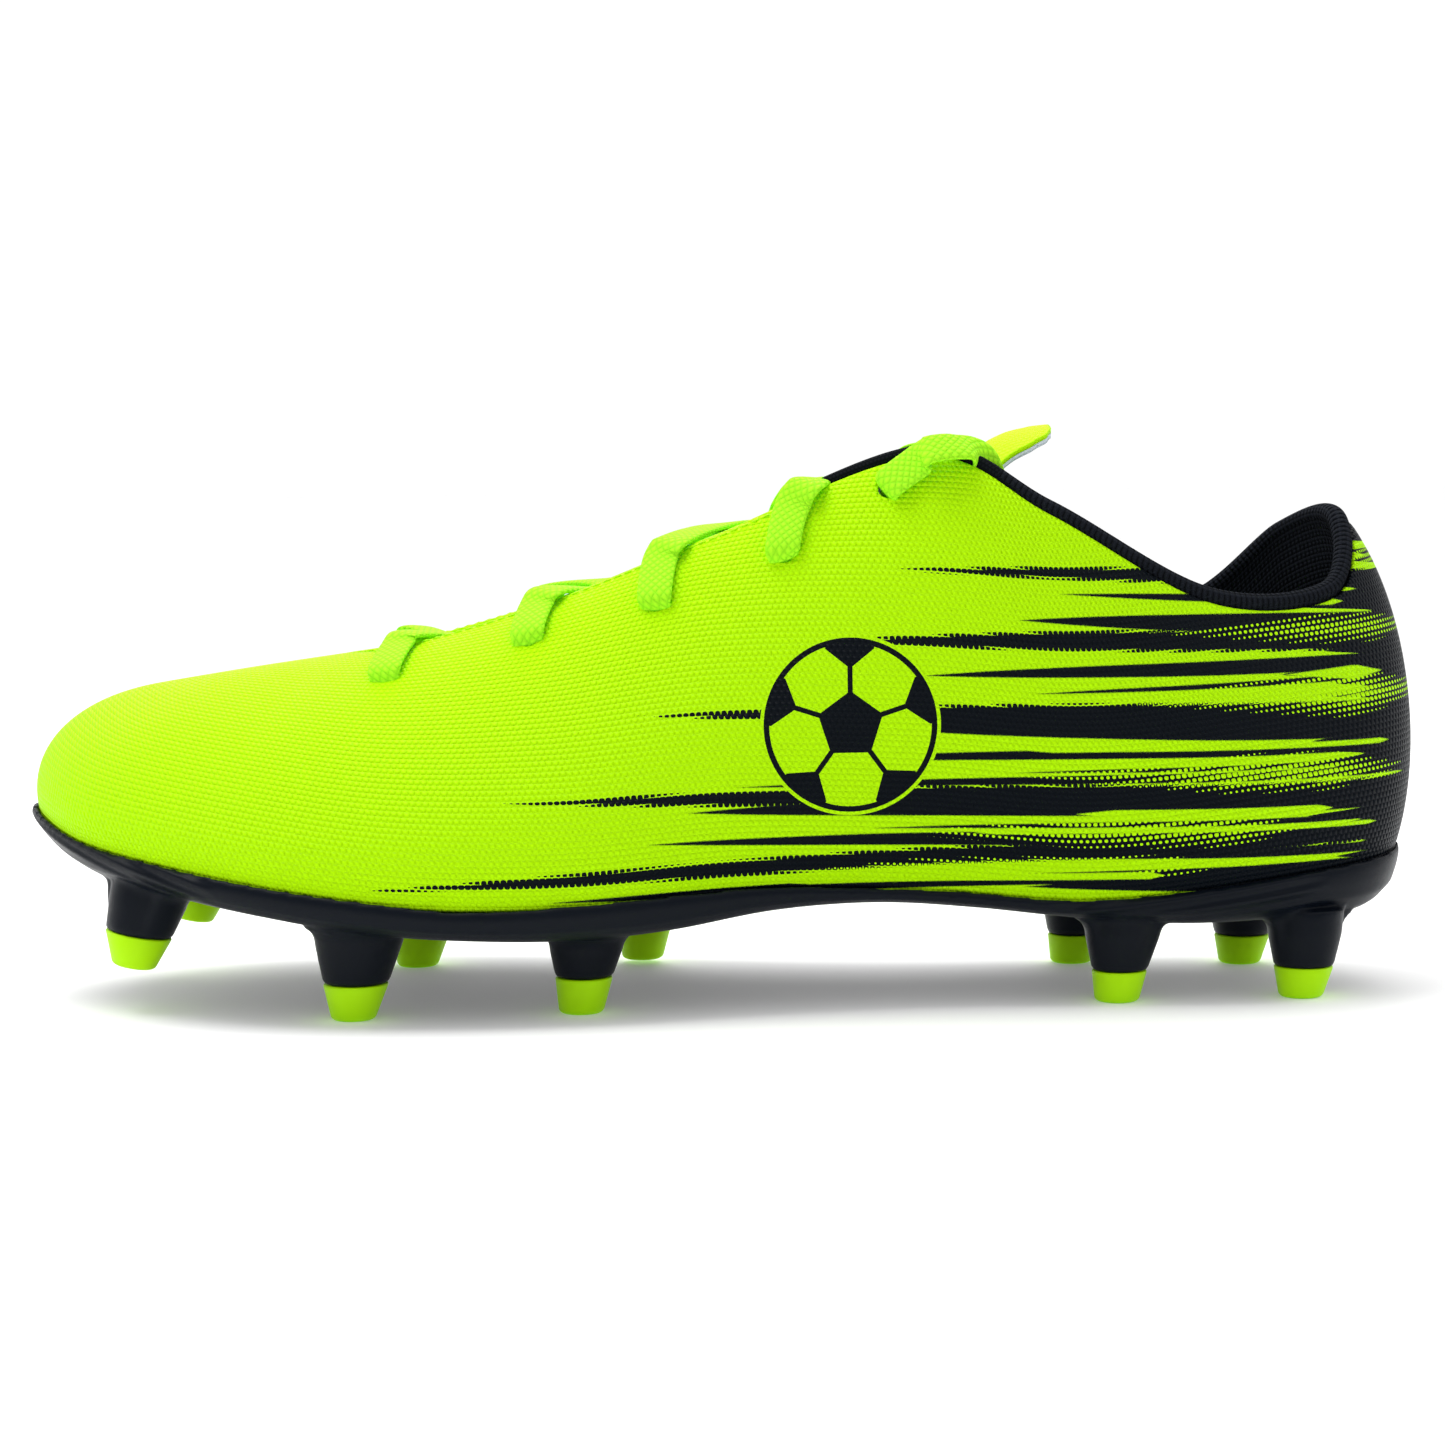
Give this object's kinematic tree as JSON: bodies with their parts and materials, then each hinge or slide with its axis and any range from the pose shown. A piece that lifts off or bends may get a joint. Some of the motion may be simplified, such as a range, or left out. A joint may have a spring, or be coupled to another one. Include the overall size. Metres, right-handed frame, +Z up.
{
  "type": "football boot",
  "caption": "Low-cut moulded-stud football boot with coated textile upper, laced throat, padded heel collar and coloured stud tips.",
  "frame": {"origin": "centre of the whole boot's box in X and Y, on the ground plane that the stud tips stand on", "axes": "-X towards the toe, -Y towards the outer (lateral) side, +Z up"},
  "size_m": [0.2864, 0.0958, 0.1156],
  "materials": {
    "coated_neon": "embossed synthetic, satin, printed with black streaks",
    "sole_black": "satin moulded",
    "stud_neon": "satin moulded",
    "black_mesh": "ribbed knit mesh",
    "black_binding": "folded tape",
    "white_textile": "fine knit",
    "stiffener": "plain sheet",
    "foam": "open foam",
    "board": "fibre board",
    "insole_textile": "textile over foam",
    "lace_neon": "flat woven",
    "aglet_plastic": "clear-coated film"
  },
  "bodies": {
    "shoe": {"outsole_plate": "sole_black", "stud_tip_lateral_1": "stud_neon", "stud_tip_lateral_2": "stud_neon", "stud_tip_lateral_3": "stud_neon", "stud_tip_lateral_4": "stud_neon", "stud_tip_lateral_5": "stud_neon", "stud_tip_medial_1": "stud_neon", "stud_tip_medial_2": "stud_neon", "stud_tip_medial_3": "stud_neon", "stud_tip_medial_4": "stud_neon", "stud_tip_medial_5": "stud_neon", "lasting_board": "board", "insole": "insole_textile", "upper": "coated_neon", "vamp_lining": "white_textile", "toe_puff": "stiffener", "heel_counter": "stiffener", "collar_foam": "foam", "collar_lining": "black_mesh", "collar_rim": "black_mesh", "topline_binding_lateral": "black_binding", "topline_binding_medial": "black_binding", "eyestay_reinforcement_lateral": "stiffener", "eyestay_reinforcement_medial": "stiffener", "tongue_face": "coated_neon", "tongue_padding": "white_textile", "lace": "lace_neon", "aglet_lateral": "aglet_plastic", "aglet_medial": "aglet_plastic"},
    "tongue_tip": {"tongue_tip_face": "coated_neon", "tongue_tip_padding": "white_textile"}
  },
  "joints": [
    {"name": "tongue_fold", "type": "hinge", "parent": "shoe", "child": "tongue_tip", "pos_m": [0.051, 0.00312, 0.1094], "axis": [0, -1, 0], "range_deg": [-10, 55], "stiffness_Nm_per_rad": 0.01}
  ]
}
